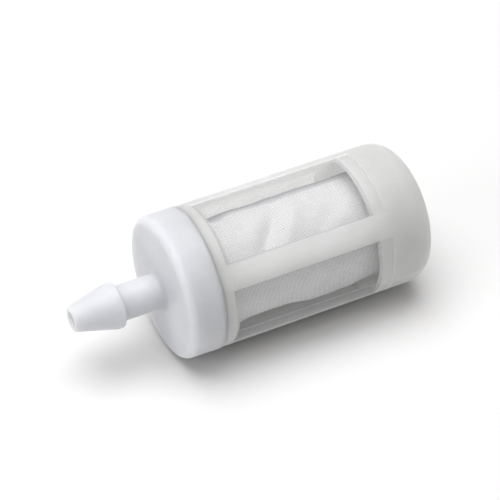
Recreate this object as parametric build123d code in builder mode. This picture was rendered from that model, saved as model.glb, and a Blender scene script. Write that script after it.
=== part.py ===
from build123d import *

import os
from math import cos, degrees, hypot, radians, sin

# In-tank fuel filter of a small engine: a barbed outlet cap welded to a windowed cage, with a bag inside.
#
# The axis of the filter is X. The origin is on that axis, in the flat face of the outlet cap, where the hose
# stops. -X runs along the nipple to its tip, and +X to the closed end of the cage. +Z is up, with the filter
# lying on its side. All sizes are in millimetres.

# Driving dimensions of the housing
RIM_R = 9.0  # outlet cap at its rim, the widest place
CAGE_R = 8.9  # ring, ribs and closed end of the cage
CAP_LENGTH = 4.75  # flat face of the cap to the parting line
WINDOW_START = 6.15  # pocket of each window, end nearest the cap
WINDOW_END = 25.7  # pocket of each window, end nearest the closed end
RECESS_END = 27.2  # shallow recess behind each pocket
TOTAL_END = 33.95  # tip of the closed end
WALL = 1.0  # wall of the cage
RIB_COUNT = 4
RIB_ANGLE = 21.0  # width of a rib, as an angle about the axis
FIRST_RIB = 36.8  # first rib above the horizontal, on the -Y side

# Outlet cap
FACE_FLAT_R = 6.4  # flat middle of the face, up to its soft shoulder
FACE_SLOPE = 0.25  # how far the face falls back from the flat to the corner
FACE_R = 8.93  # radius of the cap at its corner, before the corner is rounded
CORNER_R = 1.0
FACE_THICKNESS = 1.3
SKIRT_R = 7.9  # inside of the skirt
RIM_BREAK = 0.06  # softened edges on both sides of the parting line

# Hose nipple
BORE_R = 1.0
NECK_R = 2.2
NECK_BLEND = 0.6
BARB_X = -5.4  # back of the barb
BARB_R = 2.9
BARB_LAND = 0.8  # cylinder at the barb's widest, before its edges are rounded
TIP_R = 1.55
TIP_X = -11.45

# Inner spigot, with the mouth of the bag and the ring that grips it
SPIGOT_R = 5.2
SPIGOT_WALL = 0.8
SPIGOT_END = 4.6
BAG_WALL = 0.6
BAG_R = 6.15
BAG_START = 1.9
BAG_MOUTH_END = 4.3  # the bag is gripped up to here, and flares to its full radius behind it
BAG_FULL = 6.4
BAG_CORNER_R = 2.4
BAG_END = 30.4
RING_WALL = 0.8
RING_START = 2.1
RING_LENGTH = 2.0

# Cage
SLEEVE_R = 7.85  # outside of the sleeve that plugs into the cap's skirt
SLEEVE_START = 1.6
THROAT_R = 6.75  # inside of that sleeve
DOME_CORNER_R = 2.85
DOME_CORNER_TURN = 80.0  # the corner turns this far, and a nearly flat crown turns the rest
LEDGE_ROUND = 0.3  # inside the ring, where the wall steps out
POCKET_BREAK = 0.06  # softened top edge of each pocket

# Windows and their screens
POCKET_DEPTH = 0.24
RECESS_DEPTH = 0.12
SCREEN_THICKNESS = 0.12
SCREEN_GAP = 0.04  # between a screen's edge and the wall of its pocket
SCREEN_LIFT = 0.01  # between a screen and its seat
SEAT_SIDE = 1.0  # seat under a screen along each rib, as an angle
SEAT_START = 0.4
SEAT_END = 0.4
SEAT_LIP = 0.12  # thickness of a seat at its edge, before it slopes in to the full wall
SEAT_SLOPE = 9.0  # how far round the slope runs along each rib, as an angle
END_SLOPE = 1.0  # how far along the axis the slope runs at the end away from the cap

TINY = 1e-4  # for comparing places

os.makedirs("parts", exist_ok=True)


def write(piece, name):
    """Label a finished piece and write it as its own STEP file."""
    piece.part.label = name
    export_step(piece.part, f"parts/{name}.step")


# Outlet cap: face, skirt, nipple and inner spigot are one moulding, turned about X
cap_points = [
    (TIP_X, BORE_R),
    (TIP_X, TIP_R),
    (BARB_X - BARB_LAND, BARB_R),
    (BARB_X, BARB_R),
    (BARB_X, NECK_R),
    (0, NECK_R),
    (0, FACE_FLAT_R),
    (FACE_SLOPE, FACE_R),
    (CAP_LENGTH, RIM_R),
    (CAP_LENGTH, SKIRT_R),
    (FACE_THICKNESS, SKIRT_R),
    (FACE_THICKNESS, SPIGOT_R),
    (SPIGOT_END, SPIGOT_R),
    (SPIGOT_END, SPIGOT_R - SPIGOT_WALL),
    (FACE_THICKNESS, SPIGOT_R - SPIGOT_WALL),
    (FACE_THICKNESS, BORE_R),
]
cap_rounds = [0, 0.4, 0.9, 0.35, 0.15, NECK_BLEND, 3.0, CORNER_R, RIM_BREAK, 0, 0.3, 0, 0.2, 0, 0.2, 0]
with BuildPart() as outlet_cap:
    with BuildSketch(Plane.XY):
        with BuildLine():
            FilletPolyline(*cap_points, radius=cap_rounds, close=True)
        make_face()
    revolve(axis=Axis.X)
write(outlet_cap, "outlet_cap")

# Bag ring: grips the mouth of the bag on the spigot
mouth_r = SPIGOT_R + BAG_WALL
ring_end = RING_START + RING_LENGTH
with BuildPart() as bag_ring:
    with BuildSketch(Plane.XY):
        with BuildLine():
            FilletPolyline(
                (RING_START, mouth_r),
                (RING_START, mouth_r + RING_WALL),
                (ring_end, mouth_r + RING_WALL),
                (ring_end, mouth_r),
                radius=[0, 0.2, 0.2, 0],
                close=True,
            )
        make_face()
    revolve(axis=Axis.X)
write(bag_ring, "bag_ring")

# Filter bag: a sock of even thickness, open at the spigot and closed inside the cage's end
with BuildPart() as filter_bag:
    with BuildSketch(Plane.XY):
        with BuildLine():
            FilletPolyline(
                (BAG_START, SPIGOT_R),
                (BAG_START, mouth_r),
                (BAG_MOUTH_END, mouth_r),
                (BAG_FULL, BAG_R),
                (BAG_END, BAG_R),
                (BAG_END, 0),
                (BAG_END - BAG_WALL, 0),
                (BAG_END - BAG_WALL, BAG_R - BAG_WALL),
                (BAG_FULL, BAG_R - BAG_WALL),
                (BAG_MOUTH_END, SPIGOT_R),
                radius=[0, 0, 1.0, 1.0, BAG_CORNER_R, 0, 0, BAG_CORNER_R - BAG_WALL, 1.0, 1.0],
                close=True,
            )
        make_face()
    revolve(axis=Axis.X)
write(filter_bag, "filter_bag")


# Cage: sleeve, ring, ribs and closed end are one moulding
cage_inner_r = CAGE_R - WALL
turn_sin = sin(radians(DOME_CORNER_TURN))
turn_cos = cos(radians(DOME_CORNER_TURN))
crown_r = (CAGE_R - DOME_CORNER_R) / turn_cos + DOME_CORNER_R  # so that the crown is centred on the axis
corner_start = TOTAL_END - crown_r + (crown_r - DOME_CORNER_R) * turn_sin
pocket_floor_r = CAGE_R - POCKET_DEPTH
window_angle = 360 / RIB_COUNT - RIB_ANGLE
seat_inner_angle = window_angle - 2 * SEAT_SIDE
opening_end = WINDOW_END - SEAT_END
cut_r = CAGE_R + 1  # cutting tools reach this far out


def window_centre(index):
    """Angle of a window about X, from +Y towards +Z: the top window first, then front, bottom and back."""
    spacing = 360 / RIB_COUNT
    return 180 - FIRST_RIB - spacing / 2 + spacing * index


def window_wedge(index, angle, start, end, low_r, high_r, mode=Mode.ADD):
    """Add or cut the part of a tube about X that lies in one window."""
    with BuildSketch(Plane.XY.rotated((window_centre(index) - angle / 2, 0, 0))) as section:
        with Locations((start, low_r)):
            Rectangle(end - start, high_r - low_r, align=(Align.MIN, Align.MIN))
    revolve(section.sketch, axis=Axis.X, revolution_arc=angle, mode=mode)


def polar_point(r, angle):
    """Point of the YZ plane at a radius and an angle about X."""
    return (r * cos(radians(angle)), r * sin(radians(angle)))


def seat_slopes(index):
    """Slope the inner corners beside a window: of its two ribs, and of the wall at its far end."""
    with BuildSketch(Plane.YZ.offset(WINDOW_START + SEAT_START)) as section:
        with BuildLine():
            centre = window_centre(index)
            lip = seat_inner_angle / 2
            lip_r = pocket_floor_r - SEAT_LIP
            Polyline(
                polar_point(lip_r, centre - lip),
                polar_point(lip_r, centre + lip),
                polar_point(cage_inner_r, centre + lip + SEAT_SLOPE),
                polar_point(THROAT_R, centre + lip + SEAT_SLOPE),
                polar_point(THROAT_R, centre - lip - SEAT_SLOPE),
                polar_point(cage_inner_r, centre - lip - SEAT_SLOPE),
                close=True,
            )
        make_face()
    extrude(section.sketch, amount=opening_end - WINDOW_START - SEAT_START, mode=Mode.SUBTRACT)
    with BuildSketch(Plane.XY.rotated((window_centre(index) - seat_inner_angle / 2, 0, 0))) as end_section:
        with BuildLine():
            Polyline(
                (opening_end, pocket_floor_r - SEAT_LIP),
                (opening_end, cage_inner_r - SEAT_LIP),
                (opening_end + END_SLOPE, cage_inner_r - SEAT_LIP),
                (opening_end + END_SLOPE, cage_inner_r),
                close=True,
            )
        make_face()
    revolve(end_section.sketch, axis=Axis.X, revolution_arc=seat_inner_angle, mode=Mode.SUBTRACT)


def is_pocket_rim(edge):
    """Tell whether an edge lies in the cage's outside, around a window."""
    middle = edge @ 0.5
    in_windows = WINDOW_START - TINY < middle.X < RECESS_END + TINY
    return in_windows and abs(hypot(middle.Y, middle.Z) - CAGE_R) < TINY


with BuildPart() as cage_body:
    with BuildSketch(Plane.XY):
        with BuildLine():
            outside = Polyline(
                (SLEEVE_START, THROAT_R),
                (SLEEVE_START, SLEEVE_R),
                (CAP_LENGTH, SLEEVE_R),
                (CAP_LENGTH, CAGE_R - RIM_BREAK),
                (CAP_LENGTH + RIM_BREAK, CAGE_R),
                (corner_start, CAGE_R),
            )
            corner = JernArc(outside @ 1, (1, 0), DOME_CORNER_R, -DOME_CORNER_TURN)
            crown = JernArc(corner @ 1, corner % 1, crown_r, DOME_CORNER_TURN - 90)
            inside = FilletPolyline(
                (SLEEVE_START, THROAT_R),
                (WINDOW_START, THROAT_R),
                (WINDOW_START, cage_inner_r),
                (corner_start, cage_inner_r),
                radius=[LEDGE_ROUND, LEDGE_ROUND],
            )
            inner_corner = JernArc(inside @ 1, (1, 0), DOME_CORNER_R - WALL, -DOME_CORNER_TURN)
            inner_crown = JernArc(inner_corner @ 1, inner_corner % 1, crown_r - WALL, DOME_CORNER_TURN - 90)
            Line(inner_crown @ 1, crown @ 1)
        make_face()
    revolve(axis=Axis.X)
    for window in range(RIB_COUNT):
        window_wedge(window, window_angle, WINDOW_START, WINDOW_END, pocket_floor_r, cut_r, Mode.SUBTRACT)
        window_wedge(window, window_angle, WINDOW_START, RECESS_END, CAGE_R - RECESS_DEPTH, cut_r, Mode.SUBTRACT)
        window_wedge(
            window,
            seat_inner_angle,
            WINDOW_START + SEAT_START,
            opening_end,
            cage_inner_r - 1,
            cut_r,
            Mode.SUBTRACT,
        )
        seat_slopes(window)
    pocket_rims = cage_body.edges().filter_by(is_pocket_rim)
    fillet(pocket_rims, POCKET_BREAK)
write(cage_body, "cage_body")

# Screens: a curved panel of mesh in each window's pocket
screen_r = pocket_floor_r + SCREEN_LIFT
screen_angle = window_angle - 2 * degrees(SCREEN_GAP / screen_r)
for window, side in enumerate(("top", "front", "bottom", "back")):
    with BuildPart() as screen:
        window_wedge(
            window,
            screen_angle,
            WINDOW_START + SCREEN_GAP,
            WINDOW_END - SCREEN_GAP,
            screen_r,
            screen_r + SCREEN_THICKNESS,
        )
    write(screen, f"screen_{side}")
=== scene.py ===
"""Looks of the in-tank fuel filter: nylon housing, woven screens, filter bag, camera, floor and light.

Lengths are in metres, unless they are said to be in millimetres, and angles in degrees. The frame is the
CAD model's: X runs along the filter's axis from the outlet cap to the closed end, Z is up, and the axis is
the line Y = Z = 0. An angle about the axis counts from +Y towards +Z, so -Y, the side nearest the camera,
is at 180.
"""

from math import asin, cos, degrees, pi, radians, sin, sqrt

import bpy
import numpy as np
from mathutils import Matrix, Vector, noise


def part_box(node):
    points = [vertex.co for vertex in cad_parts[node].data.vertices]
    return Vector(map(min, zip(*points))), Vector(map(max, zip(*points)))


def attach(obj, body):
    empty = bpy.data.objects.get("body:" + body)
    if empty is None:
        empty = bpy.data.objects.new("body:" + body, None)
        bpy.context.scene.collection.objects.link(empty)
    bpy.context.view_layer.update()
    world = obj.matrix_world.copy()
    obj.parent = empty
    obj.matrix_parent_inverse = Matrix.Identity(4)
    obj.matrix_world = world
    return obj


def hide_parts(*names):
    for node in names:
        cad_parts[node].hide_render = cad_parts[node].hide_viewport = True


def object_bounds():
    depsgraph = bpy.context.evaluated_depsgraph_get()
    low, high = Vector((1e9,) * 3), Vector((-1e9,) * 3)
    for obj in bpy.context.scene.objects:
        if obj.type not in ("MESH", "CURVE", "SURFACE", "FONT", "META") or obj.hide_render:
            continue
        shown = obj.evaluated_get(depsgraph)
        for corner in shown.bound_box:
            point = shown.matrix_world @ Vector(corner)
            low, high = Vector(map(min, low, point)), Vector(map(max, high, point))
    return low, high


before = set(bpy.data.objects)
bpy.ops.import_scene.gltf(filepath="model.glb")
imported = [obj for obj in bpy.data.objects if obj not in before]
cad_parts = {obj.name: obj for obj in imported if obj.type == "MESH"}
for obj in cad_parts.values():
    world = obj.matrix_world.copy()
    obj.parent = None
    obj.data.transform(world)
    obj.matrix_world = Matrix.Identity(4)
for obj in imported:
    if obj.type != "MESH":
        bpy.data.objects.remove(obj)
cad_low, cad_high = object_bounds()

MM = 0.001

# Camera, on the photograph's viewing angle
CAMERA_AZIMUTH = 26.45  # swung towards the nipple from looking along +Y
CAMERA_ELEVATION = 42.78
CAMERA_DISTANCE = 300.5 * MM
CAMERA_LENS = 178.15  # in millimetres, as is the width of its sensor
CAMERA_SENSOR = 36
CAMERA_AIM = Vector((1.61, 1.44, 0)) * MM  # from the middle of the filter

# Woven screens
WEAVE_PITCH = 0.17 * MM
WIRE_R = 0.0217 * MM
WIRE_SIDES = 4
WIRE_FLAT = WIRE_R / sqrt(2)  # from a wire's middle to its flat sides
WIRE_WANDER = 0.008 * MM  # about how far a wire strays from its straight line
SCREEN_SIDES = ("front", "bottom", "back", "top")  # in order about the axis, a quarter turn apart
SCREEN_GAP = 0.04 * MM  # from a screen to the end of its window

# Painted shade on the sides of the cage's lower windows, which lie in shadow inside the cage, in millimetres
PAINTED_SHADE_DEPTHS = (0.26, 0.98)  # below the cage's outside, just inside the two skins of its wall
PAINTED_SHADE_EDGE = 0.06  # over which the painted shade sets in from either skin
PAINTED_SHADE_TOP = (-4.0, -2.5)  # heights over which it fades out upwards
PAINTED_SHADE_END = 0.2  # over which it fades out past the ends of the windows

# Filter bag
BAG_CLOTH = 0.3 * MM  # thickness of the cloth, outwards from the sheet that stands for its inside
BAG_SAG = 0.3 * MM  # how far the bag hangs below the axis
BAG_END_ROUND = 2.4 * MM
RING_WALL = 0.8 * MM  # of the ring around the bag's mouth
FLARE_LENGTH = 2.2 * MM  # along which the bag widens from the ring to its full size
BAG_ROWS = 190
BAG_COLUMNS = 216
SEAM_ANGLE = 57.0  # middle of the lap seam
SEAM_WIDTH = 2.5 * MM
SEAM_HEIGHT = 0.12 * MM
SEAM_STEP = 0.25 * MM  # width of the slope at the seam's edges
WELD_SPACING = 1.1 * MM  # between the weld spots along the seam
WELD_R = 0.26 * MM
WELD_DEPTH = 0.07 * MM
WRINKLE_HEIGHT = 0.07 * MM
WRINKLE_SIZE = 2.6 * MM

# Folds of the slack bag, each from one place to another: distance from the origin along X in millimetres,
# angle, distance, angle, half-width in millimetres, height in millimetres
BAG_FOLDS = (
    (16.0, 84, 12.2, 126, 1.1, -0.7),
    (17.6, 92, 14.8, 134, 1.2, 0.42),
    (11.4, 78, 13.0, 92, 1.2, 0.26),
    (8.4, 58, 9.5, 136, 1.2, -0.3),
    (19.4, 128, 24.0, 92, 1.2, -0.14),
    (20.8, 132, 25.4, 104, 1.0, 0.16),
    (6.0, 120, 9.0, 158, 0.9, 0.18),
    (7.4, 158, 13.6, 176, 1.0, -0.16),
    (15.2, 206, 18.4, 188, 0.8, 0.26),
    (14.0, 204, 16.8, 186, 0.8, -0.22),
    (19.0, 172, 25.2, 160, 1.1, 0.16),
    (6.2, 224, 7.6, 226, 1.3, 0.3),
    (10.2, 222, 14.2, 220, 1.4, -0.14),
    (18.2, 224, 22.6, 226, 1.6, 0.36),
    (9.4, 246, 16.0, 262, 1.3, -0.3),
    (13.0, 276, 21.0, 268, 1.4, 0.3),
    (18.0, 296, 25.0, 286, 1.2, -0.28),
    (7.4, 300, 12.4, 316, 1.2, 0.26),
    (12.6, 338, 19.0, 324, 1.2, -0.28),
    (20.2, 344, 26.0, 352, 1.3, 0.26),
    (8.0, 2, 13.0, 350, 1.1, 0.22),
    (14.6, 12, 20.4, 22, 1.2, -0.22),
    (21.0, 30, 25.6, 22, 1.1, 0.2),
)


def add_object(name, mesh, slot=None):
    """Put a mesh in the scene, smooth shaded, and make it a piece of the filter if it has a slot."""
    piece = bpy.data.objects.new(name, mesh)
    bpy.context.scene.collection.objects.link(piece)
    mesh.shade_smooth()
    if slot:
        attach(piece, "root")
    return piece


# ---------------------------------------------------------------- materials


def new_material(name):
    """A node material with its shader and texture coordinates in millimetres."""
    material = bpy.data.materials.new(name)
    material.use_nodes = True
    nodes = material.node_tree.nodes
    shader = nodes["Principled BSDF"]
    coordinates = nodes.new("ShaderNodeTexCoord")
    scale = nodes.new("ShaderNodeVectorMath")
    scale.operation = "SCALE"
    scale.inputs["Scale"].default_value = 1 / MM
    material.node_tree.links.new(coordinates.outputs["Object"], scale.inputs[0])
    return material, shader, scale.outputs["Vector"]


def grain(material, place, size, detail=2.0, roughness=0.5):
    """Noise with features about this many millimetres across, as a value from 0 to 1."""
    node = material.node_tree.nodes.new("ShaderNodeTexNoise")
    node.inputs["Scale"].default_value = 1 / size
    node.inputs["Detail"].default_value = detail
    node.inputs["Roughness"].default_value = roughness
    material.node_tree.links.new(place, node.inputs["Vector"])
    return node.outputs["Fac"]


def remap(material, value, low, high, to_low, to_high):
    """Map a value from one range to another, and clamp it."""
    node = material.node_tree.nodes.new("ShaderNodeMapRange")
    links = material.node_tree.links
    links.new(value, node.inputs["Value"])
    for key, number in (("From Min", low), ("From Max", high), ("To Min", to_low), ("To Max", to_high)):
        node.inputs[key].default_value = number
    return node.outputs["Result"]


def mix_colours(material, share, first, second):
    """Mix two colours, each a tuple or another node's output. The node has a set of sockets for each type of
    data: 6 and 7 are its two input colours, and 2 is its output colour."""
    node = material.node_tree.nodes.new("ShaderNodeMix")
    node.data_type = "RGBA"
    links = material.node_tree.links
    links.new(share, node.inputs["Factor"])
    for key, colour in ((6, first), (7, second)):
        if isinstance(colour, tuple):
            node.inputs[key].default_value = (*colour, 1)
        else:
            links.new(colour, node.inputs[key])
    return node.outputs[2]


def bump(material, height, distance, normal=None):
    """Bump of this many metres from a height from 0 to 1, on top of another bump if one is given."""
    node = material.node_tree.nodes.new("ShaderNodeBump")
    node.inputs["Strength"].default_value = 1.0
    node.inputs["Distance"].default_value = distance
    links = material.node_tree.links
    links.new(height, node.inputs["Height"])
    if normal is not None:
        links.new(normal, node.inputs["Normal"])
    return node.outputs["Normal"]


def nylon(name, tint, cloud_tint, depth):
    """Natural nylon as moulded: milky, satin, faintly cloudy, with soft sinks and a fine skin. Light goes
    into it about as deep as the depth."""
    material, shader, place = new_material(name)
    links = material.node_tree.links
    clouds = remap(material, grain(material, place, 3.5, detail=3), 0.3, 0.7, 0, 1)
    links.new(mix_colours(material, clouds, tint, cloud_tint), shader.inputs["Base Color"])
    skin = grain(material, place, 0.42, detail=3)
    links.new(remap(material, skin, 0.25, 0.75, 0.34, 0.46), shader.inputs["Roughness"])
    sinks = bump(material, grain(material, place, 2.4, detail=1), 0.04 * MM)
    links.new(bump(material, skin, 0.03 * MM, sinks), shader.inputs["Normal"])
    shader.inputs["IOR"].default_value = 1.53
    shader.inputs["Specular IOR Level"].default_value = 0.25
    shader.inputs["Subsurface Weight"].default_value = 1.0
    shader.inputs["Subsurface Radius"].default_value = (1.0, 1.0, 1.0)
    shader.inputs["Subsurface Scale"].default_value = depth
    return material, shader, place


def monofilament():
    """Thin nylon wire of the screens, white and partly clear."""
    material, shader, place = new_material("screen_wire")
    links = material.node_tree.links
    shade = remap(material, grain(material, place, 1.7, detail=3), 0.3, 0.7, 0, 1)
    white = mix_colours(material, shade, (0.74, 0.74, 0.74), (0.70, 0.70, 0.695))
    links.new(white, shader.inputs["Base Color"])
    links.new(remap(material, grain(material, place, 0.1), 0.3, 0.7, 0.28, 0.42), shader.inputs["Roughness"])
    shader.inputs["IOR"].default_value = 1.53
    shader.inputs["Alpha"].default_value = 0.42
    return material


def filter_cloth(name, tint, worn_tint):
    """Nonwoven cloth: a felt of fine fibres with a faint grain, and a few specks caught in it."""
    material, shader, place = new_material(name)
    links = material.node_tree.links
    fibres = grain(material, place, 0.12, detail=6, roughness=0.7)
    patches = remap(material, grain(material, place, 2.2, detail=3), 0.3, 0.7, 0, 1)
    white = mix_colours(material, patches, tint, worn_tint)
    speck_cells = material.node_tree.nodes.new("ShaderNodeTexVoronoi")
    speck_cells.inputs["Scale"].default_value = 1 / 1.9
    links.new(place, speck_cells.inputs["Vector"])
    speck = remap(material, speck_cells.outputs["Distance"], 0.03, 0.07, 1, 0)
    links.new(mix_colours(material, speck, white, (0.34, 0.30, 0.25)), shader.inputs["Base Color"])
    links.new(remap(material, fibres, 0.3, 0.7, 0.75, 0.95), shader.inputs["Roughness"])
    links.new(bump(material, fibres, 0.03 * MM), shader.inputs["Normal"])
    shader.inputs["Sheen Weight"].default_value = 0.15
    shader.inputs["Subsurface Weight"].default_value = 0.6
    shader.inputs["Subsurface Radius"].default_value = (1.0, 1.0, 1.0)
    shader.inputs["Subsurface Scale"].default_value = 0.4 * MM
    return material


def product(material, factors):
    """Multiply several values together."""
    result = factors[0]
    for factor in factors[1:]:
        node = material.node_tree.nodes.new("ShaderNodeMath")
        node.operation = "MULTIPLY"
        material.node_tree.links.new(result, node.inputs[0])
        material.node_tree.links.new(factor, node.inputs[1])
        result = node.outputs["Value"]
    return result


def low_window_painted_shade(material, place):
    """Mask of the painted shade: 1 on the sides of the windows in the lower half of the cage, between the
    two skins of its wall, and 0 elsewhere."""
    nodes = material.node_tree.nodes
    links = material.node_tree.links
    flatten = nodes.new("ShaderNodeVectorMath")
    flatten.operation = "MULTIPLY"
    flatten.inputs[1].default_value = (0, 1, 1)
    radius = nodes.new("ShaderNodeVectorMath")
    radius.operation = "LENGTH"
    split = nodes.new("ShaderNodeSeparateXYZ")
    links.new(place, flatten.inputs[0])
    links.new(flatten.outputs["Vector"], radius.inputs[0])
    links.new(place, split.inputs["Vector"])
    cage_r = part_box("cage_body")[1].y / MM
    window_end = (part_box("screen_front")[1].x + SCREEN_GAP) / MM
    outer = cage_r - PAINTED_SHADE_DEPTHS[0]
    inner = cage_r - PAINTED_SHADE_DEPTHS[1]
    bottom, top = PAINTED_SHADE_TOP
    limits = (
        remap(material, radius.outputs["Value"], inner, inner + PAINTED_SHADE_EDGE, 0, 1),
        remap(material, radius.outputs["Value"], outer - PAINTED_SHADE_EDGE, outer, 1, 0),
        remap(material, split.outputs["X"], window_end, window_end + PAINTED_SHADE_END, 1, 0),
        remap(material, split.outputs["Z"], bottom, top, 1, 0),
    )
    return product(material, limits)


def cage_nylon():
    """The cage's nylon, with painted shade on the sides of its lower windows so that they hardly show: a
    dark colour there and little light let through.
    """
    material, shader, place = nylon("cage_nylon", (0.67, 0.678, 0.67), (0.64, 0.645, 0.63), 8.0 * MM)
    links = material.node_tree.links
    skin = shader.inputs["Base Color"].links[0].from_socket
    sides = low_window_painted_shade(material, place)
    # painted shade: a dark colour and hardly any subsurface light on the sides of the lower windows
    links.new(mix_colours(material, sides, skin, (0.30, 0.288, 0.288)), shader.inputs["Base Color"])
    links.new(remap(material, sides, 0, 1, 1, 0.1), shader.inputs["Subsurface Weight"])
    return material


def paint(node_name, material):
    """Give a CAD node one material in place of its own."""
    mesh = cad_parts[node_name].data
    mesh.materials.clear()
    mesh.materials.append(material)


CAP_NYLON, _, _ = nylon("cap_nylon", (0.595, 0.605, 0.638), (0.57, 0.58, 0.61), 3.2 * MM)
CAGE_NYLON = cage_nylon()
WIRE = monofilament()
CLOTH = filter_cloth("filter_cloth", (0.80, 0.80, 0.81), (0.76, 0.76, 0.765))
SEAM_CLOTH = filter_cloth("seam_cloth", (0.62, 0.61, 0.66), (0.50, 0.49, 0.53))

paint("outlet_cap", CAP_NYLON)
paint("cage_body", CAGE_NYLON)
paint("bag_ring", CAGE_NYLON)


# ---------------------------------------------------------------- woven screens

front_low, front_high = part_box("screen_front")
SCREEN_OUTER_R = -front_low.y  # the front screen passes through 180 degrees
SCREEN_MIDDLE_R = SCREEN_OUTER_R - 2 * WIRE_FLAT
FRONT_START = 180 - degrees(asin(front_high.z / SCREEN_OUTER_R))
FRONT_END = 180 - degrees(asin(front_low.z / SCREEN_OUTER_R))


def wire_rings(centres, across, outward, radius):
    """Corners of the rings of a bundle of wires: centres is wires x points x 3, and across and outward span
    the section at each point."""
    rings = []
    for side in range(WIRE_SIDES):
        turn = 2 * pi * (side + 0.5) / WIRE_SIDES
        rings.append(centres + radius * (cos(turn) * across + sin(turn) * outward))
    return np.stack(rings, axis=2)


def wire_faces(wires, points, first):
    """Quads along each wire and a cap on each of its ends, as vertex numbers counted from first."""
    ring = np.arange(WIRE_SIDES)
    wire, point, side = np.meshgrid(np.arange(wires), np.arange(points - 1), ring, indexing="ij")
    start = (wire * points + point) * WIRE_SIDES
    end = start + WIRE_SIDES
    following = (side + 1) % WIRE_SIDES
    corners = [start + side, start + following, end + following, end + side]
    quads = np.stack(corners, axis=-1).reshape(-1, 4)
    heads = (np.arange(wires) * points * WIRE_SIDES)[:, None] + ring[::-1]
    tails = ((np.arange(wires) + 1) * points * WIRE_SIDES - WIRE_SIDES)[:, None] + ring
    return np.concatenate([quads, heads, tails]) + first


def on_tube(x, angle, r):
    """Points on a tube about the axis, from arrays of places, angles and radii."""
    x, turn = np.broadcast_arrays(x, np.radians(angle))
    return np.stack([x, r * np.cos(turn), r * np.sin(turn)], axis=-1)


def wander(rng, wires, points):
    """Smooth random strays of each wire along its length."""
    along = np.linspace(0, 1, points)
    strays = np.zeros((wires, points))
    for wave in range(1, 5):
        size = rng.normal(0, WIRE_WANDER / wave, (wires, 1))
        start = rng.uniform(0, 2 * pi, (wires, 1))
        strays += size * np.sin(2 * pi * wave * along + start)
    return strays


def woven_mesh(name, start, end, x_low, x_high, seed):
    """Plain weave bent to the cage: wires along the axis pass over and under hoops about it."""
    rng = np.random.default_rng(seed)
    arc = radians(end - start) * SCREEN_MIDDLE_R
    lengthwise = round((arc - 2 * WIRE_R) / WEAVE_PITCH)
    hoops = round((x_high - x_low - 2 * WIRE_R) / WEAVE_PITCH)
    degrees_per_metre = degrees(1 / SCREEN_MIDDLE_R)
    wire_angles = start + (np.arange(lengthwise) + 0.5) * (end - start) / lengthwise
    hoop_places = x_low + (np.arange(hoops) + 0.5) * (x_high - x_low) / hoops

    # each wire bends at its crossings, up and down by turns, and ends at the edges of the screen
    x_steps = np.concatenate([[x_low], hoop_places, [x_high]])
    angle_steps = np.concatenate([[start], wire_angles, [end]])
    wire_wave = np.concatenate([[0], (-1.0) ** np.arange(hoops), [0]])
    hoop_wave = np.concatenate([[0], (-1.0) ** np.arange(lengthwise), [0]])

    wire_sign = (-1.0) ** np.arange(lengthwise)[:, None]
    wire_r = SCREEN_MIDDLE_R + WIRE_FLAT * wire_sign * wire_wave
    wire_angle = wire_angles[:, None] + wander(rng, lengthwise, hoops + 2) * degrees_per_metre
    wires = on_tube(x_steps[None, :], wire_angle, wire_r)
    wire_out = on_tube(0, wire_angle, 1)
    wire_across = on_tube(0, wire_angle + 90, 1)

    hoop_sign = (-1.0) ** np.arange(hoops)[:, None]
    hoop_r = SCREEN_MIDDLE_R - WIRE_FLAT * hoop_sign * hoop_wave
    hoop_x = hoop_places[:, None] + wander(rng, hoops, lengthwise + 2)
    hoop_angle = angle_steps[None, :] + 0 * hoop_x
    hoop_points = on_tube(hoop_x, hoop_angle, hoop_r)
    hoop_out = on_tube(0, hoop_angle, 1)
    hoop_across = np.zeros_like(hoop_out)
    hoop_across[..., 0] = -1

    wire_corners = wire_rings(wires, wire_across, wire_out, WIRE_R).reshape(-1, 3)
    hoop_corners = wire_rings(hoop_points, hoop_across, hoop_out, WIRE_R).reshape(-1, 3)
    corners = np.concatenate([wire_corners, hoop_corners])
    wire_quads = wire_faces(lengthwise, hoops + 2, 0)
    hoop_quads = wire_faces(hoops, lengthwise + 2, len(wire_corners))
    faces = np.concatenate([wire_quads, hoop_quads])
    mesh = bpy.data.meshes.new(name)
    mesh.from_pydata(corners.tolist(), [], faces.tolist())
    mesh.update()
    return mesh


for quarter, side in enumerate(SCREEN_SIDES):
    node = f"screen_{side}"
    start = FRONT_START + 90 * quarter
    end = FRONT_END + 90 * quarter
    mesh = woven_mesh(f"woven_{node}", start, end, front_low.x, front_high.x, quarter)
    mesh.materials.append(WIRE)
    screen = add_object(f"woven_{node}", mesh, "mesh")
    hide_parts(node)


# ---------------------------------------------------------------- filter bag

bag_low, bag_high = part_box("filter_bag")
ring_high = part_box("bag_ring")[1]
BAG_R = bag_high.y
BAG_LENGTH = bag_high.x - bag_low.x
MOUTH_R = ring_high.y - RING_WALL
MOUTH_LENGTH = ring_high.x - bag_low.x  # of the bag inside the ring
SEAM_SPREAD = degrees(SEAM_WIDTH / 2 / BAG_R)  # from the seam's middle to its edges


def smooth_step(value):
    """0 below 0, 1 above 1, and smooth between."""
    value = np.clip(value, 0, 1)
    return value * value * (3 - 2 * value)


def angle_between(angle, other):
    """Signed difference of two angles, from -180 to 180."""
    return (angle - other + 180) % 360 - 180


def bag_profile(share):
    """Place along X and radius of the smooth bag, and how free of the ring it is from 0 to 1, for a share of
    the way along the cloth from the mouth to the middle of the closed end."""
    wall = BAG_LENGTH - BAG_END_ROUND
    corner = BAG_END_ROUND * pi / 2
    flat = BAG_R - BAG_END_ROUND
    run = share * (wall + corner + flat)
    turn = np.clip((run - wall) / BAG_END_ROUND, 0, pi / 2)
    x = np.minimum(run, wall) + BAG_END_ROUND * np.sin(turn)
    past_corner = np.clip(run - wall - corner, 0, flat)
    free = smooth_step((x - MOUTH_LENGTH) / FLARE_LENGTH)
    r = BAG_R - BAG_END_ROUND * (1 - np.cos(turn)) - past_corner - (BAG_R - MOUTH_R) * (1 - free)
    return bag_low.x + x, r, free


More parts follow.
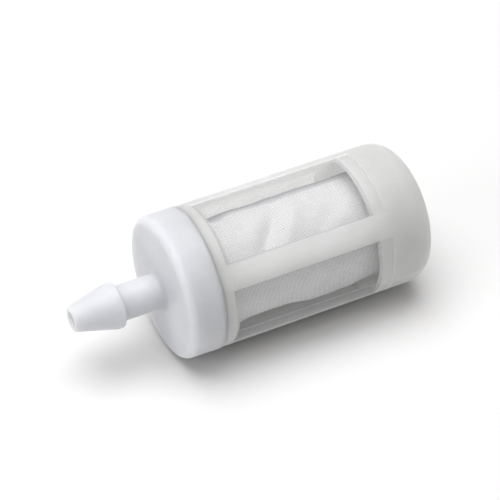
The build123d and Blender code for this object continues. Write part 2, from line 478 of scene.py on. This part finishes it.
def fold_lift(x, angle):
    """Height of the bag's folds at places on its wall."""
    lift = 0 * x + 0 * angle
    for start_x, start_angle, end_x, end_angle, half_width, height in BAG_FOLDS:
        length_x = (end_x - start_x) * MM
        length_arc = radians(angle_between(end_angle, start_angle)) * BAG_R
        off_x = x - start_x * MM
        off_arc = np.radians(angle_between(angle, start_angle)) * BAG_R
        along = np.clip((off_x * length_x + off_arc * length_arc) / (length_x**2 + length_arc**2), 0, 1)
        distance = np.hypot(off_x - along * length_x, off_arc - along * length_arc)
        lift = lift + height * MM * np.exp(-((distance / (half_width * MM)) ** 2))
    return lift


def small_wrinkles(x, angle):
    """Fine uneven creases all over the bag's cloth."""
    places = on_tube(x, angle, BAG_R) / WRINKLE_SIZE
    creases = [
        1 - 2 * abs(noise.noise(Vector(place))) + 0.4 * noise.noise(Vector(place) * 2.7)
        for place in places.reshape(-1, 3)
    ]
    return np.array(creases).reshape(places.shape[:-1]) * WRINKLE_HEIGHT


def seam_lift(x, angle):
    """Height of the lap seam, with a row of weld spots pressed into it."""
    across = np.radians(angle_between(angle, SEAM_ANGLE)) * BAG_R
    step = smooth_step((SEAM_WIDTH / 2 - abs(across)) / SEAM_STEP + 0.5)
    to_spot = (x - bag_low.x + WELD_SPACING / 2) % WELD_SPACING - WELD_SPACING / 2
    spot = np.exp(-((np.hypot(to_spot, across) / WELD_R) ** 2))
    return SEAM_HEIGHT * step - WELD_DEPTH * spot


def ring_of_quads(rows, columns):
    """Quads of a grid of rows that close on themselves."""
    row, column = np.meshgrid(np.arange(rows - 1), np.arange(columns), indexing="ij")
    following = (column + 1) % columns
    corners = [
        row * columns + column,
        (row + 1) * columns + column,
        (row + 1) * columns + following,
        row * columns + following,
    ]
    return np.stack(corners, axis=-1).reshape(-1, 4)


def bag_mesh():
    """The bag as one sheet of cloth: mouth in the ring, slack folded wall with its seam, and closed end."""
    share = np.linspace(0, 1, BAG_ROWS)[:-1, None]
    angle = np.linspace(0, 360, BAG_COLUMNS, endpoint=False)[None, :]
    x, r, free = bag_profile(share)
    loose = free * smooth_step(2 * r / BAG_R - 0.9)  # 0 in the ring and near the middle of the closed end
    lift = fold_lift(x, angle) + small_wrinkles(x, angle) + seam_lift(x, angle)
    places = on_tube(x, angle, r + loose * lift)
    places[..., 2] -= BAG_SAG * free
    points = places.reshape(-1, 3).tolist()
    middle_of_end = len(points)
    points.append((bag_high.x, 0, -BAG_SAG))
    last_row = middle_of_end - BAG_COLUMNS
    end = [
        (last_row + column, middle_of_end, last_row + (column + 1) % BAG_COLUMNS)
        for column in range(BAG_COLUMNS)
    ]
    mesh = bpy.data.meshes.new("filter_bag_cloth")
    mesh.from_pydata(points, [], ring_of_quads(BAG_ROWS - 1, BAG_COLUMNS).tolist() + end)
    mesh.update()
    return mesh


cloth_mesh = bag_mesh()
cloth_mesh.materials.append(CLOTH)
cloth_mesh.materials.append(SEAM_CLOTH)
seam_start = round((SEAM_ANGLE - SEAM_SPREAD) * BAG_COLUMNS / 360)
seam_end = round((SEAM_ANGLE + SEAM_SPREAD) * BAG_COLUMNS / 360)
wall_faces = (BAG_ROWS - 2) * BAG_COLUMNS
for face in cloth_mesh.polygons[:wall_faces]:
    if seam_start <= face.index % BAG_COLUMNS < seam_end:
        face.material_index = 1
bag = add_object("filter_bag_cloth", cloth_mesh, "felt")
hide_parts("filter_bag")
thickness = bag.modifiers.new("cloth", "SOLIDIFY")
thickness.thickness = BAG_CLOTH
thickness.offset = -1


# ---------------------------------------------------------------- floor, light and camera

FLOOR_SIDE = 1.6
WORLD_TINT = (1.0, 0.985, 0.978)

# Brightness of the room, each step with the sine of its elevation
WORLD_GLOW = ((0.0, 0.6), (0.12, 0.6), (0.2, 0.04), (1.0, 0.52))

# Name, azimuth and elevation it shines from, distance, size and power in watts
SOFT_BOXES = (
    ("key_light", 125, 82, 0.5, 0.5, 3.25),
    ("fill_light", 190, 24, 0.5, 0.3, 0.7),
)

middle = (cad_low + cad_high) / 2

half_side = FLOOR_SIDE / 2
floor_corners = [
    (middle.x + x * half_side, middle.y + y * half_side, cad_low.z)
    for x, y in ((-1, -1), (1, -1), (1, 1), (-1, 1))
]
floor_mesh = bpy.data.meshes.new("floor")
floor_mesh.from_pydata(floor_corners, [], [(0, 1, 2, 3)])
floor = add_object("floor", floor_mesh)
floor_material, floor_shader, floor_place = new_material("floor")
floor_grain = grain(floor_material, floor_place, 40)
floor_tint = mix_colours(floor_material, floor_grain, (0.74, 0.735, 0.735), (0.76, 0.755, 0.755))
floor_material.node_tree.links.new(floor_tint, floor_shader.inputs["Base Color"])
floor_shader.inputs["Roughness"].default_value = 0.9
floor_mesh.materials.append(floor_material)


def direction(azimuth, elevation):
    """Unit vector towards an azimuth about Z from +X and an elevation."""
    around = radians(azimuth)
    up = radians(elevation)
    return Vector((cos(around) * cos(up), sin(around) * cos(up), sin(up)))


def soft_light(name, towards, distance, size, power):
    """A square soft box facing the filter."""
    light = bpy.data.lights.new(name, "AREA")
    light.shape = "SQUARE"
    light.size = size
    light.energy = power
    holder = bpy.data.objects.new(name, light)
    holder.location = middle + towards * distance
    holder.rotation_euler = (-towards).to_track_quat("-Z", "Y").to_euler()
    bpy.context.scene.collection.objects.link(holder)


for name, azimuth, elevation, distance, size, power in SOFT_BOXES:
    soft_light(name, direction(azimuth, elevation), distance, size, power)

world = bpy.data.worlds.new("studio")
world.use_nodes = True
world_nodes = world.node_tree.nodes
world_links = world.node_tree.links
sky = world_nodes.new("ShaderNodeTexCoord")
height = world_nodes.new("ShaderNodeSeparateXYZ")
glow = world_nodes.new("ShaderNodeValToRGB")
for place, _ in WORLD_GLOW[2:]:  # the ramp starts with two steps of its own
    glow.color_ramp.elements.new(place)
for step, (place, brightness) in zip(glow.color_ramp.elements, WORLD_GLOW):
    step.position = place
    step.color = [brightness * channel for channel in WORLD_TINT] + [1]
world_links.new(sky.outputs["Generated"], height.inputs["Vector"])
world_links.new(height.outputs["Z"], glow.inputs["Fac"])
world_links.new(glow.outputs["Color"], world_nodes["Background"].inputs["Color"])
bpy.context.scene.world = world
bpy.context.scene.view_settings.view_transform = "Standard"

camera_data = bpy.data.cameras.new("camera")
camera_data.lens = CAMERA_LENS
camera_data.sensor_width = CAMERA_SENSOR
camera_data.clip_start = 0.01
camera_data.clip_end = 10
camera = bpy.data.objects.new("camera", camera_data)
back = direction(-90 - CAMERA_AZIMUTH, CAMERA_ELEVATION)
camera.location = middle + CAMERA_AIM + back * CAMERA_DISTANCE
camera.rotation_euler = (-back).to_track_quat("-Z", "Y").to_euler()
bpy.context.scene.collection.objects.link(camera)
bpy.context.scene.camera = camera
